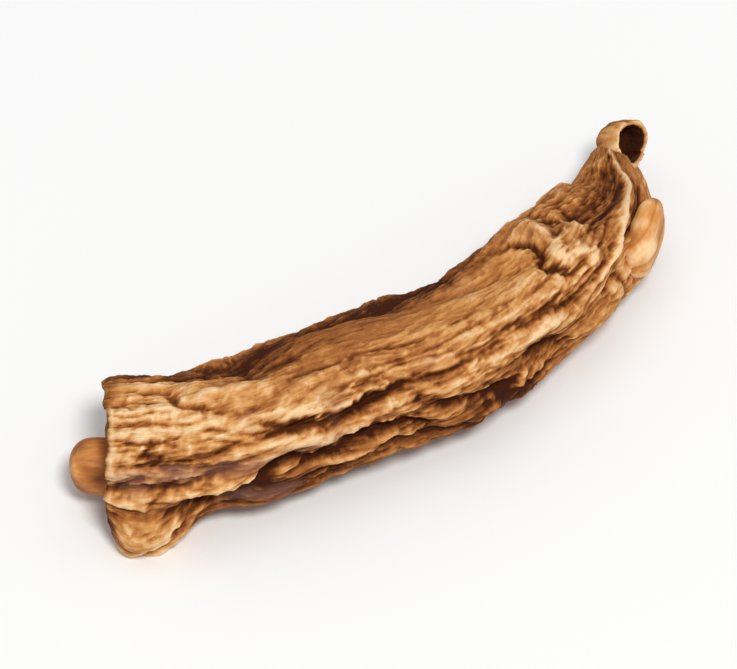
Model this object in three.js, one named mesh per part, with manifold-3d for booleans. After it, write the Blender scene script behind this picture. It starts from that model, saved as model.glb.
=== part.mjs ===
// A cut piece of dried rehmannia root, lying on its side: a bowed, deeply furrowed root about 34 mm
// long along its bend and 7 mm thick. One end is cut square, with a stub of core and a rounded side
// knob. The other end is split: the bark runs out to a narrow tip that has rolled into a small tube,
// and a lobe of pale core shows beside it. It grew as one piece, so it is one solid.
// Millimetres, +Z up. X runs from the cut end to the tip, and the root lies on z = 0.

import * as THREE from "three";
import { mergeVertices } from "three/addons/utils/BufferGeometryUtils.js";
import Module from "manifold-3d";

const LENGTH = 34;
const MEAN_RADIUS = 3.6;
const SECTION_WIDTH = 1.04;
const SECTION_HEIGHT = 0.97;
const FLOOR_TRIM = 0.15;

const STEPS_ALONG = 50;
const STEPS_AROUND = 78;
const DEGREES = Math.PI / 180;

// The root's middle line: share of its length, place on the ground, height of the middle, radius.
const STATIONS = [
  { share: 0.0, x: 0.0, y: 0.0, z: 3.25, radius: 3.25 },
  { share: 0.1, x: 2.87, y: -1.98, z: 3.35, radius: 3.45 },
  { share: 0.2, x: 5.95, y: -3.5, z: 3.45, radius: 3.5 },
  { share: 0.28, x: 8.63, y: -3.95, z: 3.5, radius: 3.55 },
  { share: 0.38, x: 11.9, y: -4.6, z: 3.45, radius: 3.5 },
  { share: 0.47, x: 14.89, y: -5.25, z: 3.28, radius: 3.43 },
  { share: 0.61, x: 19.65, y: -5.12, z: 3.03, radius: 3.13 },
  { share: 0.725, x: 23.07, y: -4.55, z: 3.13, radius: 3.18 },
  { share: 0.82, x: 26.0, y: -3.64, z: 2.95, radius: 3.05 },
  { share: 0.885, x: 28.2, y: -2.9, z: 2.75, radius: 2.75 },
  { share: 0.94, x: 29.4, y: -1.7, z: 3.0, radius: 1.9 },
  { share: 1.0, x: 30.5, y: -0.2, z: 3.15, radius: 1.25 },
];

// Creases (negative rise) and ridges (positive). Each follows its points: share of the length, then
// degrees round the root, where 0 faces the outside of the bend, 90 is the top and 180 the inside.
const FOLDS = [
  // The long open furrow on the lit side, and the crease that carries it on.
  {
    rise: -0.8, width: 0.42,
    path: [
      [0.2, 62], [0.225, 53], [0.26, 46.5],
      [0.3, 44], [0.36, 47], [0.43, 49],
    ],
  },
  { rise: -0.45, width: 0.36, path: [[0.44, 51], [0.47, 45], [0.52, 48], [0.56, 45]] },
  { rise: -0.3, width: 0.3, path: [[0.54, 61], [0.58, 57], [0.61, 52], [0.67, 47]] },
  // The tongue of bark between the furrows, and its two shoulders.
  { rise: 0.3, width: 0.62, path: [[0.1, 64], [0.2, 68], [0.25, 61], [0.3, 56], [0.42, 57]] },
  { rise: 0.38, width: 0.62, path: [[0.19, 50], [0.24, 36], [0.3, 34], [0.36, 33], [0.43, 28]] },
  { rise: 0.34, width: 0.6, path: [[0.46, 38], [0.51, 34], [0.56, 30], [0.62, 35], [0.66, 28]] },
  // The wide shadowed valley under that tongue, with its two sharp bottoms.
  { rise: -0.6, width: 1.0, path: [[0.215, 24], [0.26, 16], [0.34, 15], [0.43, 10]] },
  { rise: -0.45, width: 0.34, path: [[0.215, 28], [0.235, 17], [0.27, 9], [0.33, 9]] },
  { rise: -0.6, width: 0.36, path: [[0.305, 31], [0.33, 21], [0.37, 14], [0.42, 12], [0.44, 2]] },
  { rise: -0.5, width: 0.34, path: [[0.425, 39], [0.44, 30], [0.47, 20], [0.5, 13], [0.55, 6]] },
  { rise: 0.35, width: 0.55, path: [[0.24, 0], [0.32, 1], [0.38, 4], [0.42, 0]] },
  { rise: 0.2, width: 0.75, path: [[0.28, -30], [0.36, -22], [0.44, -18], [0.53, -22]] },
  { rise: -0.35, width: 1.7, path: [[0.25, -36], [0.33, -38], [0.42, -36]] },
  { rise: -0.5, width: 0.45, path: [[0.22, -8], [0.3, -10], [0.37, -5], [0.45, -6]] },
  // The deep crease that cuts the cut end's lower flap from the rest, and the wrinkles on the flap.
  {
    rise: -1.0, width: 0.48,
    path: [
      [0.085, -6], [0.13, -6], [0.17, 0],
      [0.19, 8], [0.205, 20], [0.215, 30],
    ],
  },
  { rise: -0.28, width: 0.45, path: [[0.03, 45], [0.1, 43], [0.17, 42]] },
  { rise: -0.32, width: 0.28, path: [[0.04, 40], [0.1, 37], [0.13, 35], [0.17, 32]] },
  { rise: -0.35, width: 0.32, path: [[-0.02, 14], [0.03, 25], [0.06, 31]] },
  { rise: -0.25, width: 0.28, path: [[0.055, 6], [0.08, 18], [0.1, 29]] },
  { rise: -0.25, width: 0.28, path: [[0.1, 20], [0.125, 27], [0.15, 29], [0.18, 24]] },
  { rise: 0.25, width: 0.5, path: [[0.0, 8], [0.05, 8], [0.12, 14], [0.17, 16]] },
  // The crease across the side knob.
  { rise: -0.35, width: 0.24, path: [[0.024, -48], [0.05, -38], [0.075, -29], [0.1, -15]] },
  // The narrow waist above the cut end, and the swelling inside the bend.
  { rise: -0.2, width: 1.2, path: [[0.08, 130], [0.16, 124], [0.24, 120]] },
  { rise: 0.5, width: 1.3, path: [[0.56, 132], [0.66, 126], [0.76, 126]] },
  // The stepped edge of a bark plate on top of the cut end.
  {
    rise: -0.36, width: 0.3,
    path: [
      [0.02, 106], [0.06, 105], [0.095, 101], [0.106, 92],
      [0.11, 85], [0.14, 79], [0.19, 71],
    ],
  },
  { rise: 0.28, width: 0.6, path: [[0.125, 102], [0.16, 95], [0.2, 88], [0.25, 80], [0.32, 73]] },
  { rise: -0.3, width: 0.6, path: [[0.2, 112], [0.25, 106], [0.29, 103]] },
  // The pinched ring of bark where the root starts to turn up into its tip.
  {
    rise: -0.5, width: 0.44,
    path: [
      [0.655, 114], [0.685, 107], [0.703, 102], [0.708, 94], [0.702, 84],
      [0.694, 75], [0.72, 66], [0.712, 60], [0.735, 54], [0.74, 47],
    ],
  },
  {
    rise: 0.38, width: 0.56,
    path: [[0.765, 124], [0.745, 106], [0.742, 92], [0.724, 79], [0.748, 69], [0.757, 57], [0.765, 50]],
  },
  { rise: -0.38, width: 0.3, path: [[0.65, 38], [0.7, 36], [0.74, 39], [0.78, 41]] },
  { rise: -0.35, width: 0.34, path: [[0.775, 114], [0.795, 105]] },
  // The dished bark behind the split, the raised edge of that bark, and the groove beside the core.
  { rise: -1.35, width: 1.65, path: [[0.79, 98], [0.84, 92], [0.9, 95], [0.98, 112]] },
  {
    rise: 0.6, width: 0.56,
    path: [[0.74, 32], [0.79, 41], [0.83, 51], [0.86, 61], [0.9, 69], [0.94, 79], [1.0, 95]],
  },
  { rise: -0.5, width: 0.42, path: [[0.79, 24], [0.83, 36], [0.87, 46], [0.92, 54]] },
  { rise: -1.7, width: 1.1, path: [[0.85, 8], [0.91, 14], [0.96, 25], [1.03, 40]] },
  { rise: -0.3, width: 0.3, path: [[0.74, 12], [0.78, 20], [0.8, 5], [0.8, -15]] },
  // Pits and lumps low on the outside of the bend.
  { rise: -0.5, width: 0.42, path: [[0.525, 14], [0.54, 2], [0.545, -14]] },
  { rise: 0.3, width: 0.45, path: [[0.568, 16], [0.572, 0]] },
  { rise: -0.48, width: 0.4, path: [[0.575, 27], [0.6, 20], [0.63, 15], [0.66, 2]] },
  // The hollows between the three places where the underside touches the ground.
  { rise: -0.45, width: 1.6, path: [[0.16, 268], [0.26, 272], [0.38, 269]] },
  { rise: -0.5, width: 1.6, path: [[0.54, 268], [0.65, 271], [0.76, 269]] },
  { rise: -0.4, width: 1.4, path: [[-0.1, 270], [0.03, 265]] },
  // Long furrows on the side and underside that face away.
  { rise: -0.55, width: 0.5, path: [[0.05, 148], [0.16, 141], [0.28, 147], [0.41, 139], [0.5, 143]] },
  { rise: 0.35, width: 0.6, path: [[0.12, 160], [0.25, 166], [0.4, 158], [0.55, 163]] },
  { rise: -0.6, width: 0.45, path: [[0.0, 186], [0.1, 181], [0.22, 188], [0.33, 181], [0.43, 184]] },
  { rise: -0.5, width: 0.42, path: [[0.38, 170], [0.5, 176], [0.62, 168], [0.75, 174], [0.84, 167]] },
  { rise: -0.45, width: 0.5, path: [[0.55, 149], [0.64, 154], [0.72, 146]] },
  { rise: 0.4, width: 0.6, path: [[0.45, 196], [0.58, 190], [0.7, 196], [0.82, 190]] },
  { rise: -0.5, width: 0.5, path: [[0.08, 214], [0.2, 221], [0.34, 213], [0.48, 220], [0.6, 215]] },
  { rise: -0.45, width: 0.4, path: [[0.52, 210], [0.66, 206], [0.8, 213], [0.9, 205]] },
  { rise: -0.55, width: 0.45, path: [[0.15, 315], [0.3, 308], [0.45, 316], [0.58, 310]] },
  { rise: -0.5, width: 0.45, path: [[0.5, 332], [0.63, 326], [0.76, 333], [0.88, 328]] },
  { rise: -0.4, width: 0.38, path: [[0.12, 292], [0.26, 297], [0.38, 290]] },
];

// Rounded swellings: where each one's middle is, and its reach along and round the root.
const SWELLINGS = [
  // The side knob under the flap at the cut end, and the hollow that follows it.
  { rise: 2.0, share: 0.048, degrees: -35, along: 1.8, around: 1.75 },
  { rise: -0.3, share: 0.14, degrees: -36, along: 1.5, around: 1.7 },
];
const SWELLING_STEEPNESS = 2.6;

// Shallow waves that run nearly lengthwise and give the bark its finer wrinkles.
const WRINKLES = [
  { around: 5, along: 0.7, rise: 0.1, phase: 0.6 },
  { around: 9, along: -1.3, rise: 0.09, phase: 2.2 },
  { around: 14, along: 1.9, rise: 0.08, phase: 4.1 },
  { around: 21, along: -2.6, rise: 0.06, phase: 1.1 },
];
const WRINKLE_SWAY = 0.22;
// How round the waves' backs are, and what brings their mean height to nothing.
const WRINKLE_ROUNDNESS = 0.8;
const WRINKLE_LEVEL = 1.38;
const LUMPS = { along: 4.3, around: 3, rise: 0.09 };
// The bark is smoother on the upper flank inside the bend.
const SMOOTH_FLANK = { share: 0.42, degrees: 102, shareReach: 0.24, degreesReach: 30, strength: 0.7 };

// Toward the tip the waves calm down, and its last part narrows to a rounded end.
const CALM_TIP = { from: 0.84, to: 0.94, strength: 0.7 };
const ROUND_TIP = { from: 0.95, strength: 0.2 };

// The torn rim of the cut end: how far it runs in and out, and how far along that reaches.
const TORN_RIM = { depth: 0.22, reach: 0.05 };
const CUT_FACE_DISH = 0.9;

// Core that stands out of the bark: where its middle is, half sizes, and the turn about Z in degrees.
const CORES = {
  stub: { at: [-0.5, -0.1, 2.4], size: [1.4, 1.25, 1.35], turn: -37 },
  paleLobe: { at: [28.75, -5.1, 3.1], size: [2.1, 0.9, 1.5], turn: 38 },
};
const CORE_SQUARENESS = 0.82;
const CORE_DIMPLE = 0.06;

// The rolled tip: where its mouth is, the way that faces, and its section from the foot to the bore.
const CURL = {
  at: [31.6, -0.54, 3.95],
  facing: [0.33, -0.72, 0.6],
  boreRadius: 0.8,
  boreDepth: 1.3,
  section: [
    [0, -1.8], [0.75, -1.7], [1.15, -1.2], [1.26, -0.5], [1.25, -0.08],
    [1.06, 0.06], [0.86, -0.06], [0.8, -0.4], [0.76, -1.25], [0, -1.3],
  ],
  wobble: 0.07,
};

// A smooth value through the stations' values at a share of the length.
function along(key, share) {
  const last = STATIONS.length - 1;
  let i = 0;
  while (i < last - 1 && share > STATIONS[i + 1].share) i += 1;
  const slope = (k) => {
    const a = STATIONS[Math.max(k - 1, 0)];
    const b = STATIONS[Math.min(k + 1, last)];
    return (b[key] - a[key]) / (b.share - a.share);
  };
  const from = STATIONS[i];
  const to = STATIONS[i + 1];
  const span = to.share - from.share;
  const t = (share - from.share) / span;
  const rest = 1 - t;
  return (
    from[key] * (1 + 2 * t) * rest * rest +
    slope(i) * span * t * rest * rest +
    to[key] * t * t * (3 - 2 * t) -
    slope(i + 1) * span * t * t * rest
  );
}

// How far one fold raises the bark, from the distance to its path on the unrolled surface.
function foldRise(fold, share, degrees) {
  const first = fold.path[0][1];
  const nearest = first + ((((degrees - first) % 360) + 540) % 360) - 180;
  const flat = ([s, d]) => [s * LENGTH, d * DEGREES * MEAN_RADIUS];
  const [px, py] = flat([share, nearest]);
  const pieces = fold.path.length - 1;
  let best = Infinity;
  let place = 0;
  for (let i = 0; i < pieces; i += 1) {
    const [ax, ay] = flat(fold.path[i]);
    const [bx, by] = flat(fold.path[i + 1]);
    const reach = (bx - ax) ** 2 + (by - ay) ** 2;
    const t = Math.min(1, Math.max(0, ((px - ax) * (bx - ax) + (py - ay) * (by - ay)) / reach));
    const gap = Math.hypot(px - ax - t * (bx - ax), py - ay - t * (by - ay));
    if (gap < best) {
      best = gap;
      place = (i + t) / pieces;
    }
  }
  const fade = Math.min(1, 0.35 + 4 * Math.min(place, 1 - place));
  return fold.rise * fade * Math.exp(-((best / fold.width) ** 2));
}

// How far one swelling raises the bark: fully over most of it, then steeply less.
function swellingRise(swelling, share, degrees) {
  const turn = ((((degrees - swelling.degrees) % 360) + 540) % 360) - 180;
  const gapAlong = ((share - swelling.share) * LENGTH) / swelling.along;
  const gapAround = (turn * DEGREES * MEAN_RADIUS) / swelling.around;
  return swelling.rise * Math.exp(-(Math.hypot(gapAlong, gapAround) ** SWELLING_STEEPNESS));
}

function shareOf(from, to, share) {
  return Math.min(1, Math.max(0, (share - from) / (to - from)));
}

function wrinkleRise(share, degrees) {
  const turn = 2 * Math.PI * share;
  const flank =
    ((share - SMOOTH_FLANK.share) / SMOOTH_FLANK.shareReach) ** 2 +
    ((degrees - SMOOTH_FLANK.degrees) / SMOOTH_FLANK.degreesReach) ** 2;
  const angle = degrees * DEGREES + WRINKLE_SWAY * Math.sin(1.7 * turn + 0.8);
  let rise = LUMPS.rise * Math.sin(LUMPS.along * turn + 1.5 * Math.sin(LUMPS.around * angle));
  for (const w of WRINKLES) {
    const wave = Math.abs(Math.sin((w.around * angle + w.along * turn + w.phase) / 2));
    rise += w.rise * (2 * wave ** WRINKLE_ROUNDNESS - WRINKLE_LEVEL);
  }
  const calm = 1 - CALM_TIP.strength * shareOf(CALM_TIP.from, CALM_TIP.to, share);
  return rise * calm * (1 - SMOOTH_FLANK.strength * Math.exp(-flank));
}

// The middle, the level sideways direction (0 degrees) and the forward direction at a share.
function frameAt(share) {
  const at = (s) => new THREE.Vector3(along("x", s), along("y", s), along("z", s));
  const step = 0.004;
  const forward = at(Math.min(1, share + step)).sub(at(Math.max(0, share - step))).setZ(0).normalize();
  const side = new THREE.Vector3(forward.y, -forward.x, 0);
  return { middle: at(share), forward, side };
}

function barkPoint(share, degrees) {
  const { middle, forward, side } = frameAt(share);
  const radius = along("radius", share);
  const calm = Math.min(1, radius / MEAN_RADIUS);
  const folds = FOLDS.reduce((sum, fold) => sum + foldRise(fold, share, degrees), 0);
  const swellings = SWELLINGS.reduce((sum, swelling) => sum + swellingRise(swelling, share, degrees), 0);
  const narrow = 1 - ROUND_TIP.strength * shareOf(ROUND_TIP.from, 1, share) ** 2;
  const reach = narrow * (radius + calm * (wrinkleRise(share, degrees) + folds + swellings));
  const angle = degrees * DEGREES;
  const torn = Math.sin(3 * angle + 1) + 0.6 * Math.sin(7 * angle + 2) + 0.4 * Math.sin(12 * angle);
  return middle
    .addScaledVector(forward, -TORN_RIM.depth * torn * Math.max(0, 1 - share / TORN_RIM.reach))
    .addScaledVector(side, SECTION_WIDTH * reach * Math.cos(angle))
    .add(new THREE.Vector3(0, 0, SECTION_HEIGHT * reach * Math.sin(angle)));
}

// Whether a quad's diagonal from a to c lies nearer the bark's true surface than the one from b to d.
function followsDiagonal([a, b, c, d], centre) {
  const gap = (from, to) => from.clone().lerp(to, 0.5).distanceTo(centre);
  return gap(a, c) < gap(b, d);
}

// Rings of points along the root, closed at each end by a dished cap.
function barkGeometry() {
  const rings = [];
  for (let i = 0; i <= STEPS_ALONG; i += 1) {
    const ring = [];
    for (let j = 0; j < STEPS_AROUND; j += 1) {
      ring.push(barkPoint(i / STEPS_ALONG, (360 * j) / STEPS_AROUND));
    }
    rings.push(ring);
  }
  const cap = (share, shrinks, dish) => {
    const { middle, forward } = frameAt(share);
    const edge = share === 0 ? rings[0] : rings[rings.length - 1];
    return shrinks.map((f) =>
      edge.map((p) => middle.clone().lerp(p, f).addScaledVector(forward, dish * (1 - f ** 4))),
    );
  };
  const cutFace = cap(0, [0.12, 0.45, 0.7, 0.88], CUT_FACE_DISH);
  const tipFace = cap(1, [0.7, 0.25], 0.2);
  const all = [...cutFace, ...rings, ...tipFace];
  const position = all.flat().flatMap((p) => p.toArray());
  const index = [];
  const spot = (ring, j) => ring * STEPS_AROUND + (j % STEPS_AROUND);
  const pointAt = (ring, j) => all[ring][j % STEPS_AROUND];
  for (let i = 0; i < all.length - 1; i += 1) {
    const step = i - cutFace.length;
    for (let j = 0; j < STEPS_AROUND; j += 1) {
      const [a, b, c, d] = [spot(i, j), spot(i + 1, j), spot(i + 1, j + 1), spot(i, j + 1)];
      const corners = [pointAt(i, j), pointAt(i + 1, j), pointAt(i + 1, j + 1), pointAt(i, j + 1)];
      const onBark = step >= 0 && step < STEPS_ALONG;
      const middle = () => barkPoint((step + 0.5) / STEPS_ALONG, (360 * (j + 0.5)) / STEPS_AROUND);
      if (onBark && followsDiagonal(corners, middle())) {
        index.push(a, b, c, a, c, d);
      } else {
        index.push(a, b, d, d, b, c);
      }
    }
  }
  for (const [ring, order] of [[0, 1], [all.length - 1, -1]]) {
    const centre = all[ring].reduce((sum, p) => sum.add(p), new THREE.Vector3()).divideScalar(STEPS_AROUND);
    const hub = position.length / 3;
    position.push(...centre.toArray());
    for (let j = 0; j < STEPS_AROUND; j += 1) {
      const rim = [spot(ring, j), spot(ring, j + 1)];
      index.push(hub, ...(order > 0 ? rim : rim.reverse()));
    }
  }
  const geometry = new THREE.BufferGeometry();
  geometry.setAttribute("position", new THREE.Float32BufferAttribute(position, 3));
  geometry.setIndex(index);
  return geometry;
}

// A squarish ellipsoid with a few shallow dimples, so that it reads as grown rather than turned.
function coreGeometry({ at, size, turn }) {
  const geometry = new THREE.SphereGeometry(1, 20, 14);
  const place = geometry.getAttribute("position");
  for (let i = 0; i < place.count; i += 1) {
    const point = new THREE.Vector3().fromBufferAttribute(place, i);
    const dimple = Math.sin(4 * point.x + 1) * Math.sin(5 * point.y) * Math.sin(4 * point.z + 2);
    const squared = point.toArray().map((v) => Math.sign(v) * Math.abs(v) ** CORE_SQUARENESS);
    place.setXYZ(i, ...squared.map((v, axis) => v * size[axis] * (1 + CORE_DIMPLE * dimple)));
  }
  return geometry.rotateZ(turn * DEGREES).translate(...at);
}

// Places a piece that was made about Z at the rolled tip's mouth.
function atCurl(geometry) {
  const facing = new THREE.Vector3(...CURL.facing).normalize();
  const lean = new THREE.Quaternion().setFromUnitVectors(new THREE.Vector3(0, 0, 1), facing);
  return geometry.applyQuaternion(lean).translate(...CURL.at);
}

// The tip rolled into a small cup with an uneven rim.
function curlGeometry() {
  const geometry = new THREE.LatheGeometry(CURL.section.map(([r, z]) => new THREE.Vector2(r, z)), 26);
  geometry.rotateX(Math.PI / 2);
  const place = geometry.getAttribute("position");
  for (let i = 0; i < place.count; i += 1) {
    const x = place.getX(i);
    const y = place.getY(i);
    const angle = Math.atan2(y, x);
    const swell = 1 + CURL.wobble * (Math.sin(2 * angle + 0.6) + 0.6 * Math.sin(3 * angle + 2));
    const lift = CURL.wobble * Math.hypot(x, y) * Math.sin(2 * angle);
    place.setXYZ(i, x * swell, y * swell, place.getZ(i) + lift);
  }
  return atCurl(geometry);
}

function boreGeometry() {
  const bore = new THREE.CylinderGeometry(CURL.boreRadius, CURL.boreRadius, 2 * CURL.boreDepth, 22);
  return atCurl(bore.rotateX(Math.PI / 2));
}

const wasm = await Module();
wasm.setup();

function solidOf(geometry) {
  const bare = new THREE.BufferGeometry().setAttribute("position", geometry.getAttribute("position").clone());
  if (geometry.index) bare.setIndex(geometry.index.clone());
  const merged = mergeVertices(bare, 1e-4);
  return new wasm.Manifold(
    new wasm.Mesh({
      numProp: 3,
      vertProperties: new Float32Array(merged.getAttribute("position").array),
      triVerts: new Uint32Array(merged.index.array),
    }),
  );
}

function geometryOf(solid) {
  const mesh = solid.getMesh();
  const geometry = new THREE.BufferGeometry();
  geometry.setAttribute("position", new THREE.BufferAttribute(mesh.vertProperties, 3));
  geometry.setIndex(new THREE.BufferAttribute(mesh.triVerts, 1));
  geometry.computeVertexNormals();
  return geometry;
}

// The ground takes a thin slice off the lowest places, which leaves the flats that the root rests on.
function groundGeometry() {
  const depth = 10;
  return new THREE.BoxGeometry(100, 100, depth).translate(0, 0, FLOOR_TRIM - depth / 2);
}

const grown = [coreGeometry(CORES.stub), coreGeometry(CORES.paleLobe), curlGeometry()]
  .map(solidOf)
  .reduce((root, more) => root.add(more), solidOf(barkGeometry()));
const bored = grown.subtract(solidOf(boreGeometry()));
const rootGeometry = geometryOf(bored.subtract(solidOf(groundGeometry())));

// The frame's origin is on the ground, under the middle of the root's box.
rootGeometry.computeBoundingBox();
const box = rootGeometry.boundingBox;
rootGeometry.translate(-(box.min.x + box.max.x) / 2, -(box.min.y + box.max.y) / 2, -box.min.z);

const bark = new THREE.MeshStandardMaterial({ color: 0x9a6536, roughness: 0.82, metalness: 0 });
const root = new THREE.Mesh(rootGeometry, bark);
root.name = "root_piece";

const piece = new THREE.Group();
piece.add(root);

export default piece;
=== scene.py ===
# A cut piece of dried rehmannia root: bowed, deeply furrowed bark, a cut end with a stub of core,
# and a split end where a lobe of pale core shows and the bark has rolled into a small curl.
# Lengths in the tables are millimetres; finished meshes are in metres.

import math

import bmesh
import bpy
import numpy as np
from bpy.props import FloatProperty, FloatVectorProperty, IntProperty, PointerProperty
from mathutils import Matrix, Vector, noise


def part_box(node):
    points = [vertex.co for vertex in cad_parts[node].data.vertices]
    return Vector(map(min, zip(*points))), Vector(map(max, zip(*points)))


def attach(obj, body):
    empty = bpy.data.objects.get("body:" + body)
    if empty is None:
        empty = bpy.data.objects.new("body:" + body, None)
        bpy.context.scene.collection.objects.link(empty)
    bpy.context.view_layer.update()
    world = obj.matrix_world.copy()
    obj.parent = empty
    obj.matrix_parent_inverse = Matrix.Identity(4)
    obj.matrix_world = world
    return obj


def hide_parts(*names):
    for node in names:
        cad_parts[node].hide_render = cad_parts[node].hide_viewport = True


bl_info = {
    "name": "Dried Rehmannia Root",
    "version": (1, 0, 0),
    "blender": (4, 5, 0),
    "location": "View3D > Sidebar > Root",
    "description": "Builds a cut piece of dried rehmannia root on a plain stage",
    "category": "Add Mesh",
}

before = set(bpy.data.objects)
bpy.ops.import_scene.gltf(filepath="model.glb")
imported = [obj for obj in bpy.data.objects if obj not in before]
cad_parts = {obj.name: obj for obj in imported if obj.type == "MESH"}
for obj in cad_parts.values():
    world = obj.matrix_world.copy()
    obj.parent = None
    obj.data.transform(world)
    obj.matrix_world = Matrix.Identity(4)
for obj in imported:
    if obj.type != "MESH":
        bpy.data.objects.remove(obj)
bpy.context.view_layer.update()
NODE = "root_piece"
BARK_MATERIAL = "dried root bark"

MM = 0.001
# The noise is turned, so that its grid doesn't line up with the root.
NOISE_TURN = np.array(Matrix.Rotation(math.radians(38), 3, (0.5, -0.7, 0.4)))
# The three parts of a bend are read this far apart in the noise.
WARP_STEP = 13.7
# The root's section is an oval, a little wider than it is high.
SECTION_WIDTH = 1.04
SECTION_HEIGHT = 0.97
# Where the middle of the root's box lies in the coordinates of the stations.
MIDDLE = (15.28, -3.11)

# The root's middle line: share of its length, x, y, height of the middle, radius.
STATIONS = (
    (0.0, 0.0, 0.0, 3.25, 3.25),
    (0.1, 2.87, -1.98, 3.35, 3.45),
    (0.2, 5.95, -3.5, 3.45, 3.5),
    (0.28, 8.63, -3.95, 3.5, 3.55),
    (0.38, 11.9, -4.6, 3.45, 3.5),
    (0.47, 14.89, -5.25, 3.28, 3.43),
    (0.61, 19.65, -5.12, 3.03, 3.13),
    (0.725, 23.07, -4.55, 3.13, 3.18),
    (0.82, 26.0, -3.64, 2.95, 3.05),
    (0.885, 28.2, -2.9, 2.75, 2.75),
    (0.94, 29.4, -1.7, 3.0, 1.9),
    (1.0, 30.5, -0.2, 3.15, 1.25),
)
X, Y, Z, RADIUS = 1, 2, 3, 4

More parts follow.
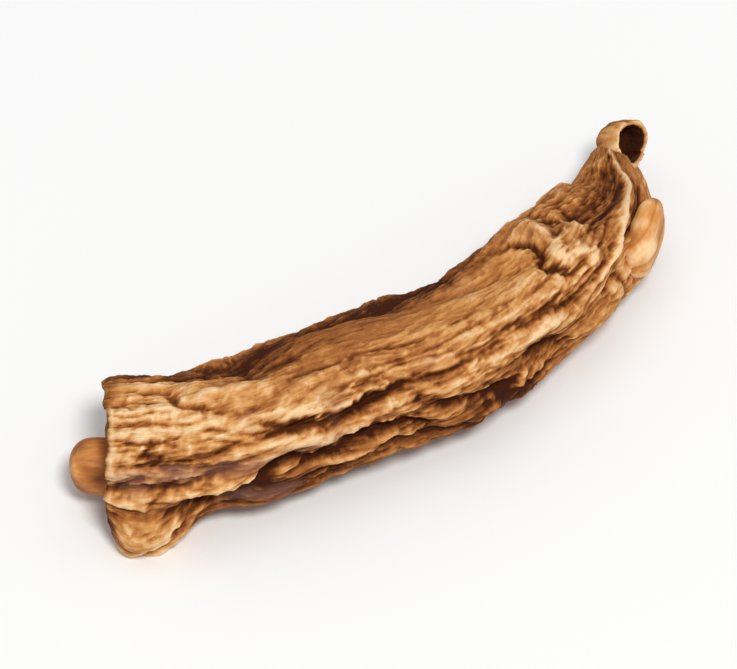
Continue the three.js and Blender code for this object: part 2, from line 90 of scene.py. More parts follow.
# Creases (negative rise) and ridges (positive): rise, width, and the path as shares of the length
# and degrees round the root, where 0 faces the outside of the bend and 90 is the top.
MAIN_FOLDS = (
    # The long open furrow on the lit side, and the crease that carries it on.
    (-1.0, 0.42, ((0.2, 62), (0.225, 53), (0.26, 46.5), (0.3, 44), (0.36, 47), (0.43, 49))),
    (-0.45, 0.36, ((0.44, 51), (0.47, 45), (0.52, 48), (0.56, 45))),
    (-0.3, 0.3, ((0.54, 61), (0.58, 57), (0.61, 52), (0.67, 47))),
    # The tongue of bark between the furrows, and its two shoulders.
    (0.3, 0.62, ((0.1, 64), (0.2, 68), (0.25, 61), (0.3, 56), (0.42, 57))),
    (0.38, 0.62, ((0.19, 50), (0.24, 36), (0.3, 34), (0.36, 33), (0.43, 28))),
    (0.34, 0.6, ((0.46, 38), (0.51, 34), (0.56, 30), (0.62, 35), (0.66, 28))),
    # The wide shadowed valley under that tongue, with its two sharp bottoms.
    (-0.62, 1.0, ((0.215, 24), (0.26, 16), (0.34, 15), (0.43, 10))),
    (-0.45, 0.34, ((0.215, 28), (0.235, 17), (0.27, 9), (0.33, 9))),
    (-0.6, 0.36, ((0.305, 31), (0.33, 21), (0.37, 14), (0.42, 12), (0.44, 2))),
    (-0.5, 0.34, ((0.425, 39), (0.44, 30), (0.47, 20), (0.5, 13), (0.55, 6))),
    (0.35, 0.55, ((0.24, 0), (0.32, 1), (0.38, 4), (0.42, 0))),
    (0.2, 0.75, ((0.28, -30), (0.36, -22), (0.44, -18), (0.53, -22))),
    (-0.35, 1.7, ((0.25, -36), (0.33, -38), (0.42, -36))),
    (-0.5, 0.45, ((0.22, -8), (0.3, -10), (0.37, -5), (0.45, -6))),
    # The deep crease that cuts the cut end's lower flap from the rest, and the flap's wrinkles.
    (-1.35, 0.5, ((0.085, -6), (0.13, -6), (0.17, 0), (0.19, 8), (0.205, 20), (0.215, 30))),
    (-0.28, 0.45, ((0.03, 45), (0.1, 43), (0.17, 42))),
    (-0.32, 0.28, ((0.04, 40), (0.1, 37), (0.13, 35), (0.17, 32))),
    (-0.35, 0.32, ((-0.02, 14), (0.03, 25), (0.06, 31))),
    (-0.25, 0.28, ((0.055, 6), (0.08, 18), (0.1, 29))),
    (-0.25, 0.28, ((0.1, 20), (0.125, 27), (0.15, 29), (0.18, 24))),
    (0.25, 0.5, ((0.0, 8), (0.05, 8), (0.12, 14), (0.17, 16))),
    # The crease across the side knob.
    (-0.34, 0.2, ((0.024, -48), (0.05, -38), (0.075, -29), (0.1, -15))),
    # The narrow waist above the cut end, and the swelling inside the bend.
    (-0.2, 1.2, ((0.08, 130), (0.16, 124), (0.24, 120))),
    (0.5, 1.3, ((0.56, 132), (0.66, 126), (0.76, 126))),
    # The stepped edge of a bark plate on top of the cut end.
    (-0.36, 0.3, ((0.02, 106), (0.06, 105), (0.095, 101), (0.106, 92), (0.11, 85), (0.14, 79), (0.19, 71))),
    (0.28, 0.6, ((0.125, 102), (0.16, 95), (0.2, 88), (0.25, 80), (0.32, 73))),
    (-0.3, 0.6, ((0.2, 112), (0.25, 106), (0.29, 103))),
    # The pinched ring of bark where the root starts to turn up into its tip.
    (-0.45, 0.25, ((0.655, 114), (0.685, 107), (0.703, 102), (0.708, 94), (0.702, 84), (0.694, 75),
                   (0.72, 66), (0.712, 60), (0.735, 54), (0.74, 47))),
    (0.34, 0.42, ((0.765, 124), (0.745, 106), (0.742, 92), (0.724, 79), (0.748, 69), (0.757, 57),
                  (0.765, 50))),
    (-0.38, 0.3, ((0.65, 38), (0.7, 36), (0.74, 39), (0.78, 41))),
    (-0.35, 0.34, ((0.775, 114), (0.795, 105))),
    # The dished bark behind the split, its raised edge, and the groove beside the core.
    (-1.35, 1.65, ((0.79, 98), (0.84, 92), (0.9, 95), (0.98, 112))),
    (0.75, 0.3, ((0.74, 32), (0.79, 41), (0.83, 51), (0.86, 61), (0.9, 69), (0.94, 79), (1.0, 95))),
    (-0.6, 0.32, ((0.79, 24), (0.83, 36), (0.87, 46), (0.92, 54))),
    (-1.8, 1.1, ((0.85, 8), (0.91, 14), (0.96, 25), (1.03, 40))),
    (-0.3, 0.3, ((0.74, 12), (0.78, 20), (0.8, 5), (0.8, -15))),
    # Pits and lumps low on the outside of the bend.
    (-0.5, 0.42, ((0.525, 14), (0.54, 2), (0.545, -14))),
    (0.3, 0.45, ((0.568, 16), (0.572, 0))),
    (-0.48, 0.4, ((0.575, 27), (0.6, 20), (0.63, 15), (0.66, 2))),
    # The hollows between the three places where the underside touches the ground.
    (-0.45, 1.6, ((0.16, 268), (0.26, 272), (0.38, 269))),
    (-0.5, 1.6, ((0.54, 268), (0.65, 271), (0.76, 269))),
    (-0.4, 1.4, ((-0.1, 270), (0.03, 265))),
    # Long furrows on the side and underside that face away.
    (-0.55, 0.5, ((0.05, 148), (0.16, 141), (0.28, 147), (0.41, 139), (0.5, 143))),
    (0.35, 0.6, ((0.12, 160), (0.25, 166), (0.4, 158), (0.55, 163))),
    (-0.6, 0.45, ((0.0, 186), (0.1, 181), (0.22, 188), (0.33, 181), (0.43, 184))),
    (-0.5, 0.42, ((0.38, 170), (0.5, 176), (0.62, 168), (0.75, 174), (0.84, 167))),
    (-0.45, 0.5, ((0.55, 149), (0.64, 154), (0.72, 146))),
    (0.4, 0.6, ((0.45, 196), (0.58, 190), (0.7, 196), (0.82, 190))),
    (-0.5, 0.5, ((0.08, 214), (0.2, 221), (0.34, 213), (0.48, 220), (0.6, 215))),
    (-0.45, 0.4, ((0.52, 210), (0.66, 206), (0.8, 213), (0.9, 205))),
    (-0.55, 0.45, ((0.15, 315), (0.3, 308), (0.45, 316), (0.58, 310))),
    (-0.5, 0.45, ((0.5, 332), (0.63, 326), (0.76, 333), (0.88, 328))),
    (-0.4, 0.38, ((0.12, 292), (0.26, 297), (0.38, 290))),
)

# How much of a fold is left at its ends, and how fast it gains the rest of it.
FOLD_FADE = (0.35, 4)
# Creases and ridges that are narrower than this, in mm, have a sharp bottom or crest.
SHARP_CREASE = 0.7
SHARP_RIDGE = 0.36
SHARP = 1.35
ROUNDED = 2
# How much more the folds are bent along the root than round it.
FOLD_SWAY = 1.6

# Rounded swellings: rise, share, degrees, reach along and round in mm.
SWELLINGS = (
    # The side knob under the cut end's lower flap.
    (2.0, 0.048, -35, 1.8, 1.75),
    # The hollow that follows the knob.
    (-0.3, 0.14, -36, 1.5, 1.7),
    # The rough knobs low on the outside of the bend.
    (0.2, 0.5, -10, 0.5, 0.42),
    (0.32, 0.53, -4, 0.55, 0.48),
    (0.3, 0.562, 0, 0.45, 0.4),
    (0.34, 0.592, 5, 0.5, 0.42),
    (0.18, 0.55, -18, 0.4, 0.4),
)

SWELLING_STEEPNESS = 2.6

# Finer creases and lips that only the detailed surface can hold.
FINE_FOLDS = (
    (-0.22, 0.16, ((0.23, 56), (0.25, 53), (0.28, 51), (0.31, 52))),
    (0.16, 0.2, ((0.21, 63), (0.25, 57), (0.28, 53), (0.34, 53), (0.42, 55))),
    (-0.18, 0.14, ((0.3, 66), (0.36, 63), (0.42, 66), (0.5, 63))),
    (-0.16, 0.14, ((0.36, 72), (0.44, 70), (0.52, 73), (0.6, 69))),
    (-0.14, 0.13, ((0.26, 83), (0.36, 84), (0.46, 81), (0.57, 84))),
    (-0.2, 0.15, ((0.5, 56), (0.55, 53), (0.6, 57), (0.66, 55))),
    (-0.2, 0.15, ((0.22, 41), (0.25, 39), (0.285, 38))),
    (0.2, 0.2, ((0.22, 35), (0.26, 30), (0.293, 31))),
    (-0.22, 0.16, ((0.0, 60), (0.05, 53), (0.08, 54), (0.1, 52))),
    (-0.16, 0.14, ((0.0, 79), (0.04, 77), (0.09, 80))),
    (-0.16, 0.14, ((0.01, 68), (0.05, 70), (0.09, 66), (0.13, 68))),
    (-0.16, 0.14, ((0.01, 90), (0.05, 92), (0.085, 89))),
    (-0.2, 0.15, ((0.13, 62), (0.17, 59), (0.2, 57))),
    (-0.2, 0.15, ((0.12, 52), (0.15, 54), (0.19, 50))),
    (-0.2, 0.15, ((0.02, 18), (0.05, 20), (0.075, 23), (0.1, 20))),
    (-0.16, 0.14, ((0.3, 4), (0.36, -2), (0.42, -5), (0.48, -12))),
    (-0.2, 0.16, ((0.47, 30), (0.52, 26), (0.57, 24))),
    (-0.2, 0.16, ((0.62, 44), (0.66, 42), (0.7, 43), (0.74, 46), (0.78, 48))),
    (-0.22, 0.16, ((0.74, 62), (0.77, 57), (0.8, 60), (0.83, 66))),
    (-0.2, 0.16, ((0.75, 75), (0.79, 73), (0.83, 80))),
    (-0.2, 0.16, ((0.7, 22), (0.74, 26), (0.78, 31), (0.82, 41))),
    (-0.16, 0.13, ((0.8, 34), (0.84, 44), (0.88, 54), (0.92, 62))),
    (-0.1, 0.12, ((0.036, 104), (0.03, 92), (0.04, 80))),
    (-0.12, 0.12, ((0.068, 92), (0.064, 84), (0.073, 74))),
    (-0.1, 0.12, ((0.05, 60), (0.055, 53), (0.045, 46))),
    (-0.1, 0.12, ((0.13, 84), (0.14, 76), (0.134, 68))),
)

# Shallow waves that run nearly lengthwise: waves round, waves along, rise, phase.
WRINKLES = ((5, 0.7, 0.1, 0.6), (9, -1.3, 0.09, 2.2), (14, 1.9, 0.08, 4.1), (21, -2.6, 0.06, 1.1))
# How they sway to and fro round the root: radians, waves along, phase.
WRINKLE_SWAY = (0.22, 1.7, 0.8)
# How round their backs are between sharp creases, and the middle level that is taken off.
WRINKLE_BACKS = (0.8, 1.38)
# The long wave under them: rise, waves along, and how far it shifts round the root.
LONG_WAVE = (0.09, 4.3, 1.5)
# Where all the waves are fainter: share, degrees, reach of each, and the share that is lost.
SMOOTH_FLANK = (0.42, 102, 0.24, 30, 0.7)
# The narrow tip loses this share of its waves between these shares of the length.
CALM_TIP = (0.84, 0.94, 0.7)
# The fine shrinkage wrinkles of dried bark: rise, repeats per mm along, repeats per mm across, seed.
# A positive rise gives puffs between sharp creases, and a negative one sharp crests between hollows.
SHRINKAGE = (
    (0.12, 0.1, 0.5, 3.1),
    (0.13, 0.22, 1.05, 17.7),
    (-0.12, 0.3, 1.2, 23.5),
    (0.08, 0.5, 2.0, 41.3),
    (-0.08, 0.7, 2.4, 52.1),
    (0.05, 1.3, 3.6, 63.9),
)
# The short crossing wrinkles of thin bark that has crumpled.
CREPE = (
    (0.13, 0.9, 0.8, 5.7),
    (-0.09, 1.5, 1.4, 29.3),
    (0.035, 3.0, 3.0, 77.1),
)
# What bends the wrinkles and creases out of straight lines: mm, repeats per mm along and across, seed.
BENDS = (
    (0.36, 0.22, 0.45, 5.0),
    (0.16, 0.8, 1.3, 9.0),
    (0.09, 2.2, 3.0, 13.0),
    (0.04, 5.0, 6.0, 15.0),
)
# How the shrinkage wrinkles braid: squeeze, seed and reach of a wide bend, and shares of the fine ones.
BRAID = ((0.3, 0.7, 0.7), 21.0, 0.5)
FINE_BRAID = (0.4, 1.2, 1.2)
# How round the puffs of the bark are, and the middle level that is taken off.
PUFF_BACKS = (0.7, 0.55)
# Where the bark is rougher (positive) or smoother: share, degrees, reach of each, change.
TEXTURE_PATCHES = (
    (0.42, 104, 0.28, 32, -0.68),
    (0.1, 70, 0.13, 36, -0.22),
    (0.08, 22, 0.1, 20, 0.15),
    (0.545, -4, 0.065, 20, 0.6),
    (0.045, -38, 0.075, 26, -0.85),
    (0.86, 90, 0.08, 26, 0.1),
    (0.94, 95, 0.08, 90, -0.75),
)
# Where the bark is crumpled, over a little of it everywhere.
CREPE_PATCHES = (
    (0.08, 62, 0.14, 45, 0.9),
    (0.12, 12, 0.1, 22, 0.5),
    (0.735, 72, 0.05, 32, 1.0),
    (0.545, -4, 0.065, 20, 0.9),
    (0.55, 45, 0.14, 16, 0.5),
    (0.87, 94, 0.08, 30, 0.7),
    (0.42, 104, 0.26, 26, -0.2),
    (0.045, -38, 0.07, 24, -0.3),
)
CREPE_EVERYWHERE = 0.2
# Where the bark is lighter or darker than its relief makes it: share, degrees, reach of each, tone. Some
# patches are the bark's own colour, and the rest are painted light and painted shade, as marked.
TONE_AND_LIGHT_PATCHES = (
    # Painted light on the lit front of the cut end.
    (0.08, 72, 0.13, 36, 0.3),
    (0.07, 114, 0.1, 12, 0.22),
    # Painted light on the lit front of the tongue.
    (0.33, 63, 0.14, 9, 0.1),
    # Painted light on the lit lip below the long furrow.
    (0.25, 38, 0.05, 8, 0.26),
    # Painted shade in the valley under the tongue.
    (0.33, 15, 0.13, 9, -0.3),
    # Painted shade on the low knobs outside the bend.
    (0.545, -8, 0.065, 20, -0.42),
    # Painted light on the band of ridges that faces the light.
    (0.56, 47, 0.12, 16, 0.18),
    # Painted light on the lit pinched ring.
    (0.745, 66, 0.035, 24, 0.26),
    # Painted shade in the dished hollow behind the split, over its brown bark.
    (0.87, 94, 0.08, 28, -0.2),
    # Painted light on the side by the split that faces the light.
    (0.8, 20, 0.06, 14, 0.2),
    # Painted shade in the deep crease under the cut end's flap.
    (0.16, 3, 0.06, 7, -0.34),
    (0.34, 98, 0.12, 16, -0.04),
    (0.56, 88, 0.15, 24, 0.13),
    (0.655, 70, 0.05, 18, 0.08),
    # Painted shade low on the side.
    (0.2, -8, 0.05, 9, -0.26),
    (0.03, -28, 0.03, 12, -0.12),
    # Painted light on the lit crescent of the side knob.
    (0.065, -46, 0.035, 14, 0.3),
    # Painted shade on the top corner of the cut end.
    (0.0, 112, 0.014, 24, -0.5),
)
# The bright, smooth edge of the bark along the split.
PALE_EDGE = ((0.77, 38), (0.8, 43), (0.83, 52), (0.86, 62), (0.9, 70), (0.94, 80), (1.0, 96))
# The share of its wrinkles that this edge loses, and over what width in mm.
EDGE_SMOOTHNESS = (0.85, 0.5)
# Pale or dark lines that follow an edge of the bark: tone, width, path. Some are the bark's own colour, and
# the rest are painted light and painted shade, as marked.
TONE_AND_LIGHT_STROKES = (
    (0.1, 0.32, PALE_EDGE),
    (0.18, 0.3, ((0.1, 46), (0.14, 52), (0.19, 56), (0.25, 58), (0.31, 56))),
    # Painted shade along a crease of the cut end's flap.
    (-0.2, 0.35, ((0.04, 46), (0.1, 45), (0.16, 47))),
    # Painted light on the lit lip of the side knob's crease.
    (0.34, 0.2, ((0.018, -44), (0.045, -34), (0.07, -25), (0.094, -11))),
    # The pale rim of the cut end.
    (0.3, 0.2, ((0.006, 92), (0.006, 62), (0.006, 30), (0.006, -8))),
    # The dark back edge of the top: painted shade.
    (-0.46, 1.5, ((-0.03, 146), (0.1, 144), (0.2, 134), (0.3, 138), (0.45, 142), (0.6, 146), (0.7, 150))),
    # The darker underside: painted shade.
    (-0.26, 1.3, ((0.13, -28), (0.2, -22), (0.35, -28), (0.5, -24), (0.64, -16))),
)
# Where dull mauve staining lies: share, degrees, reach of each, amount.
STAIN_PATCHES = (
    (0.13, 29, 0.12, 10, 0.95),
    (0.26, 24, 0.07, 9, 0.75),
    (0.02, -26, 0.04, 14, 0.8),
    (0.17, -14, 0.09, 9, 0.75),
    (0.64, 26, 0.08, 10, 0.4),
)
# How far the colour looks along and round the bark for higher ground, in mm, and how strongly. Places lower
# than the ground round them get painted shade, and higher ones painted light, over the bark's own darker
# furrows.
SHADE_REACHES = ((1.0, 0.75, 0.48), (0.45, 0.34, 0.8), (0.2, 0.16, 1.2), (0.12, 0.08, 1.2))
# How much painted shade the narrow creases add to the bark's colour.
CREASE_SHADE_STRENGTH = 0.34

# The rim at the cut end is rounded over this share of the length, by this share of the radius.
ROUND_RIM = (0.006, 0.06)
# The torn rim: how far it strays, over what share of the length, and its waves: size, waves round, phase.
TORN_RIM = (0.1, 0.05)
TORN_WAVES = ((1, 3, 1), (0.6, 7, 2), (0.4, 12, 0))
# The noise that is added to those waves: size, squeeze, seed.
TORN_NOISE = (1.2, (0.0, 1.6, 1.6), 31.0)

# The cut face: the depth of its dish, how square that is, and how its rings crowd toward the rim.
CUT_DISH = (0.9, 4)
CUT_RING_SPACING = 1.15
# Its lumps: height, squeeze, seed. Its rays: height, squeeze, seed, change toward the rim, tone.
CUT_LUMPS = (0.16, (1, 1.1, 1.1), 8.0)
CUT_RAYS = (0.07, (0.25, 2.6, 2.6), 8.0, 9, 0.22)
# The dark ring between its bark and its core: share of the radius to it, its width, and its tone.
CUT_RING = (0.72, 0.06, -0.25)

# The tip narrows from this share of the length on, by this share of the radius.
ROUND_TIP = (0.95, 0.2)
# How far the rounded tip of the bark reaches into the curl, and the rings that close it.
TIP_NOSE = 0.55
TIP_RINGS = (0.97, 0.9, 0.8, 0.66, 0.5, 0.25, 0.0)

# Core that stands out of the bark: middle, half sizes, the turn about Z in degrees,
# lines per mm of height, their strength, and how much lighter or darker it is.
CORES = {
    "core_stub": ((-0.5, -0.1, 2.4), (1.4, 1.25, 1.35), -37, 0.3, 0.06, 0.12),
    "core_lobe": ((28.75, -5.1, 3.1), (2.1, 0.86, 1.5), 38, 0.85, 0.34, 0.1),
}
# How square the core is: 2 is an egg, and more is squarer.
CORE_SQUARENESS = 2.6
# Its layers slope by this much, and are bent by noise: scale, place in the noise, share.
LAYER_SLOPE = 0.5
LAYER_BEND = (0.6, (4, 7, 1), 0.3)
# How deep lines of strength 1 are in mm, and how sharp the lines are in shape and in tone.
LAYER_DEPTH = 0.15
LINE_SHARPNESS = 0.4
LINE_TONE_SHARPNESS = 0.35
# Its lumps: scale, height in mm, tone. The tone is counted from a base level.
CORE_LUMPS = (0.9, 0.09, 0.3)
CORE_LEVEL = 0.12

# The rolled tip: its mouth, the way that faces, and its section from the foot round to the bore.
CURL_AT = (31.6, -0.54, 3.95)
CURL_FACING = (0.33, -0.72, 0.6)
CURL_SECTION = (
    (0, -1.8), (0.75, -1.7), (1.12, -1.2), (1.2, -0.5), (1.16, -0.06), (1.04, 0.05), (0.93, -0.04),
    (0.89, -0.4), (0.8, -1.25), (0, -1.3),
)
CURL_COLUMNS = 160
# Where the bark's tip ends in the curl: the middle of its wall, the bottom of its bore, and the highest.
CURL_WALL = (1.03, -1.36, -0.15)
# How the curl departs from a circle, as a share of its radius, and the waves: size, waves round, phase.
CURL_WOBBLE = 0.09
CURL_WAVES = ((1, 2, 0.6), (0.6, 3, 2))
CURL_WRINKLES = ((0.07, 0.5, 1.3, 12.0), (0.05, 0.9, 2.6, 14.0), (-0.03, 2.0, 4.0, 16.0))
# Where, in radians round its mouth, the rolled bark's edge lies over itself, and by what share.
CURL_SEAM = 5.4
CURL_OVERLAP = 0.16
# Rows of its section: the middle of its pale rim, half the rim's width, and where the bore starts.
CURL_RIM_ROW = 20.0
CURL_RIM_ROWS = 4.0
CURL_BORE_ROW = 24
# Its foot is darker from this depth down, in mm, over this depth more.
CURL_FOOT = (0.6, 1.1)
# The side of the curl, in radians round its mouth, that carries on the bark's pale edge.
CURL_PALE_SIDE = 3.0
# How its rim, its bore, its pale side and its foot are toned, the bore with painted shade, and how strongly
# its wrinkles show as painted shade and painted light.
RIM_TONE, BORE_PAINTED_SHADE, PALE_SIDE_TONE, FOOT_TONE = 0.3, 0.6, 0.22, 0.3
CURL_CONTRAST = 2.4


def hex_colour(code):
    """An sRGB hex value as the linear colour that sockets take."""
    channels = [int(code[i:i + 2], 16) / 255 for i in (1, 3, 5)]
    linear = [c / 12.92 if c <= 0.04045 else ((c + 0.055) / 1.055) ** 2.4 for c in channels]
    return (*linear, 1.0)


def colour_property(name, description, code):
    """A colour that a user can change."""
    return FloatVectorProperty(
        name=name, description=description, subtype="COLOR", size=4, min=0, max=1, default=hex_colour(code),
    )


class RootForm(bpy.types.PropertyGroup):
    """Sizes of the root, in millimetres where they are lengths."""

    length: FloatProperty(
        name="Length", description="Length along the bend that furrows are measured on, in mm",
        default=34.0,
    )
    mean_radius: FloatProperty(
        name="Mean radius", description="Radius that furrows are measured on, in mm", default=3.6,
    )
    floor_trim: FloatProperty(
        name="Resting depth", description="How much of the lowest places is pressed flat, in mm",
        default=0.15,
    )
    shrinkage: FloatProperty(
        name="Shrinkage", description="Strength of the fine drying wrinkles", default=1.0, min=0, max=2,
        subtype="FACTOR",
    )
    rows: IntProperty(
        name="Rows", description="Rings of points along the bark and over its two ends", default=300,
    )
    columns: IntProperty(name="Columns", description="Points round the bark", default=300)
    cap_rows: IntProperty(name="Cap rows", description="Rings of points on the cut face", default=18)


class RootColours(bpy.types.PropertyGroup):
    """Colours of the bark and the core. The bark's colours from furrow to crest follow its relief, so
    besides the bark's own darker furrows and rubbed crests they hold painted shade in the furrows and
    hollows and painted highlight on the crests.
    """

    # Furrow to crest: the bark's own colours, with painted shade low and painted highlight high.
    furrow: colour_property("Furrow", "Bark at the bottom of the deepest furrows", "#421C06")
    hollow: colour_property("Hollow", "Bark in the hollows", "#774119")
    flank: colour_property("Flank", "Bark between ridges and hollows", "#B06D35")
    ridge: colour_property("Ridge", "Bark on the ridges", "#D89A58")
    crest: colour_property("Crest", "Rubbed bark on the sharpest crests", "#F7CF9C")
    stain: colour_property("Stain", "Dull mauve staining of the bark", "#94695A")
    cut_face: colour_property("Cut face", "The cut face inside the bark", "#A96B36")
    core: colour_property("Core", "The pale core", "#D9924A")
    core_line: colour_property("Core line", "Lines between the layers of the core", "#A8622B")


class StageSettings(bpy.types.PropertyGroup):
    """The floor, the light and the camera."""

    azimuth: FloatProperty(
        name="Azimuth", description="Where the camera stands round the root", default=math.radians(-37.1),
        subtype="ANGLE",
    )
    elevation: FloatProperty(
        name="Elevation", description="How far the camera looks down", default=math.radians(51),
        subtype="ANGLE",
    )
    distance: FloatProperty(
        name="Distance", description="From the camera to the root", default=0.42, unit="LENGTH",
    )
    lens: FloatProperty(name="Lens", description="Focal length in mm", default=425.0)
    floor: colour_property("Floor", "The floor's colour", "#F4F4F2")
    aim_across: FloatProperty(
        name="Aim across", description="How far to the left of the root's middle the camera aims",
        default=0.0015, unit="LENGTH",
    )
    key_power: FloatProperty(
        name="Key power", description="Power of the main light", default=3.9, unit="POWER",
    )
    fill_power: FloatProperty(
        name="Fill power", description="Power of the light overhead", default=1.0, unit="POWER",
    )
    sky: FloatProperty(name="Sky", description="Strength of the light from all round", default=0.42)


def along(column, share):
    """A smooth value through one column of the stations at shares of the length."""
    table = np.array(STATIONS)
    shares = table[:, 0]
    values = table[:, column]
    last = len(shares) - 1
    before = np.maximum(np.arange(last + 1) - 1, 0)
    after = np.minimum(np.arange(last + 1) + 1, last)
    slopes = (values[after] - values[before]) / (shares[after] - shares[before])
    i = np.clip(np.searchsorted(shares, share, side="right") - 1, 0, last - 1)
    span = shares[i + 1] - shares[i]
    t = (share - shares[i]) / span
    rest = 1 - t
    start = values[i] * (1 + 2 * t) * rest ** 2 + slopes[i] * span * t * rest ** 2
    end = values[i + 1] * t ** 2 * (3 - 2 * t) - slopes[i + 1] * span * t ** 2 * rest
    return start + end


def middle_at(share):
    """The root's middle line."""
    return np.stack([along(X, share), along(Y, share), along(Z, share)], axis=-1)


def forward_at(share):
    """The level direction in which the root runs."""
    step = 0.004
    forward = middle_at(np.minimum(1, share + step)) - middle_at(np.maximum(0, share - step))
    forward[..., 2] = 0
    return forward / np.linalg.norm(forward, axis=-1, keepdims=True)


def smooth_path(path):
    """The path with three points added between each two, on a curve through them all."""
    points = np.array(path, dtype=float)
    last = len(points) - 1
    if last < 2:
        return points
    curve = []
    for i in range(last):
        p0, p1, p2, p3 = (points[min(max(k, 0), last)] for k in (i - 1, i, i + 1, i + 2))
        for t in (0.0, 0.25, 0.5, 0.75):
            curve.append(
                0.5 * (2 * p1 + (p2 - p0) * t + (2 * p0 - 5 * p1 + 4 * p2 - p3) * t ** 2
                       + (3 * p1 - p0 - 3 * p2 + p3) * t ** 3)
            )
    curve.append(points[-1])
    return np.array(curve)


def line_weight(path, width, share, degrees, form, sharpness):
    """How near each point of the bark is to a path: 1 on it, falling to 0 away from it."""
    curve = smooth_path(path)
    first = curve[0][1]
    nearest = first + (degrees - first + 180) % 360 - 180
    px = share * form.length
    py = np.radians(nearest) * form.mean_radius
    flat = np.stack([curve[:, 0] * form.length, np.radians(curve[:, 1]) * form.mean_radius], axis=-1)
    pieces = len(flat) - 1
    best = np.full(px.shape, 1e9)
    place = np.zeros(px.shape)
    for i in range(pieces):
        (ax, ay), (bx, by) = flat[i], flat[i + 1]
        reach = (bx - ax) ** 2 + (by - ay) ** 2
        t = np.clip(((px - ax) * (bx - ax) + (py - ay) * (by - ay)) / reach, 0, 1)
        gap = np.hypot(px - ax - t * (bx - ax), py - ay - t * (by - ay))
        place = np.where(gap < best, (i + t) / pieces, place)
        best = np.minimum(best, gap)
    at_ends, gain = FOLD_FADE
    fade = np.minimum(1, at_ends + gain * np.minimum(place, 1 - place))
    return fade * np.exp(-(best / width) ** sharpness)


def patch_weight(patch, share, degrees):
    """How near each point of the bark is to the middle of a patch."""
    at_share, at_degrees, share_reach, degree_reach = patch[:4]
    turn = (degrees - at_degrees + 180) % 360 - 180
    return np.exp(-(((share - at_share) / share_reach) ** 2) - (turn / degree_reach) ** 2)


def noise_at(points, squeeze, seed):
    """Smooth noise at points that are squeezed along each axis, then turned out of line with it."""
    places = (points * np.array(squeeze)) @ NOISE_TURN + seed
    return np.array([noise.noise(p) for p in places.reshape(-1, 3).tolist()]).reshape(points.shape[:-1])


def warp_at(points, squeeze, seed):
    """Three smooth noises at once, for bending a pattern out of its straight lines."""
    return np.stack([noise_at(points, squeeze, seed + WARP_STEP * axis) for axis in range(3)], axis=-1)


def blurred(field, rows, columns):
    """The field averaged over a window of so many rows and columns; columns close round the root."""
    wide = np.concatenate([field[:, -columns:], field, field[:, :columns]], axis=1)
    wide = np.cumsum(np.pad(wide, ((0, 0), (1, 0))), axis=1)
    size = 2 * columns + 1
    wide = (wide[:, size:] - wide[:, :-size]) / size
    tall = np.pad(wide, ((rows, rows), (0, 0)), mode="edge")
    tall = np.cumsum(np.pad(tall, ((1, 0), (0, 0))), axis=0)
    size = 2 * rows + 1
    return (tall[size:] - tall[:-size]) / size


def swelling_weight(place, reaches, share, degrees, form):
    """How near each point of the bark is to a swelling's middle: 1 over most of it, then steeply 0."""
    at_share, at_degrees = place
    turn = (degrees - at_degrees + 180) % 360 - 180
    along_gap = (share - at_share) * form.length / reaches[0]
    round_gap = np.radians(turn) * form.mean_radius / reaches[1]
    return np.exp(-np.hypot(along_gap, round_gap) ** SWELLING_STEEPNESS)


def patches(table, share, degrees):
    """The sum of the patches of a table."""
    return sum(patch[4] * patch_weight(patch, share, degrees) for patch in table)


def wave_rise(share, degrees):
    """The shallow waves of the bark."""
    turn = 2 * math.pi * share
    sway, sway_waves, sway_phase = WRINKLE_SWAY
    angle = np.radians(degrees) + sway * np.sin(sway_waves * turn + sway_phase)
    long_rise, long_waves, shift = LONG_WAVE
    rise = long_rise * np.sin(long_waves * turn + shift * np.sin(3 * angle))
    roundness, level = WRINKLE_BACKS
    for around, lengthwise, height, phase in WRINKLES:
        backs = 2 * np.abs(np.sin((around * angle + lengthwise * turn + phase) / 2)) ** roundness
        rise += height * (backs - level)
    from_share, to_share, calm = CALM_TIP
    tip = np.clip((share - from_share) / (to_share - from_share), 0, 1)
    return rise * (1 - SMOOTH_FLANK[4] * patch_weight(SMOOTH_FLANK, share, degrees)) * (1 - calm * tip)


def puckered(places, levels):
    """Rounded puffs with sharp creases between them."""
    rise = 0
    roundness, level = PUFF_BACKS
    for height, lengthwise, across, seed in levels:
        pattern = noise_at(places, (lengthwise, across, across), seed)
        rise += height * ((2 * np.abs(pattern)) ** roundness - level)
    return rise


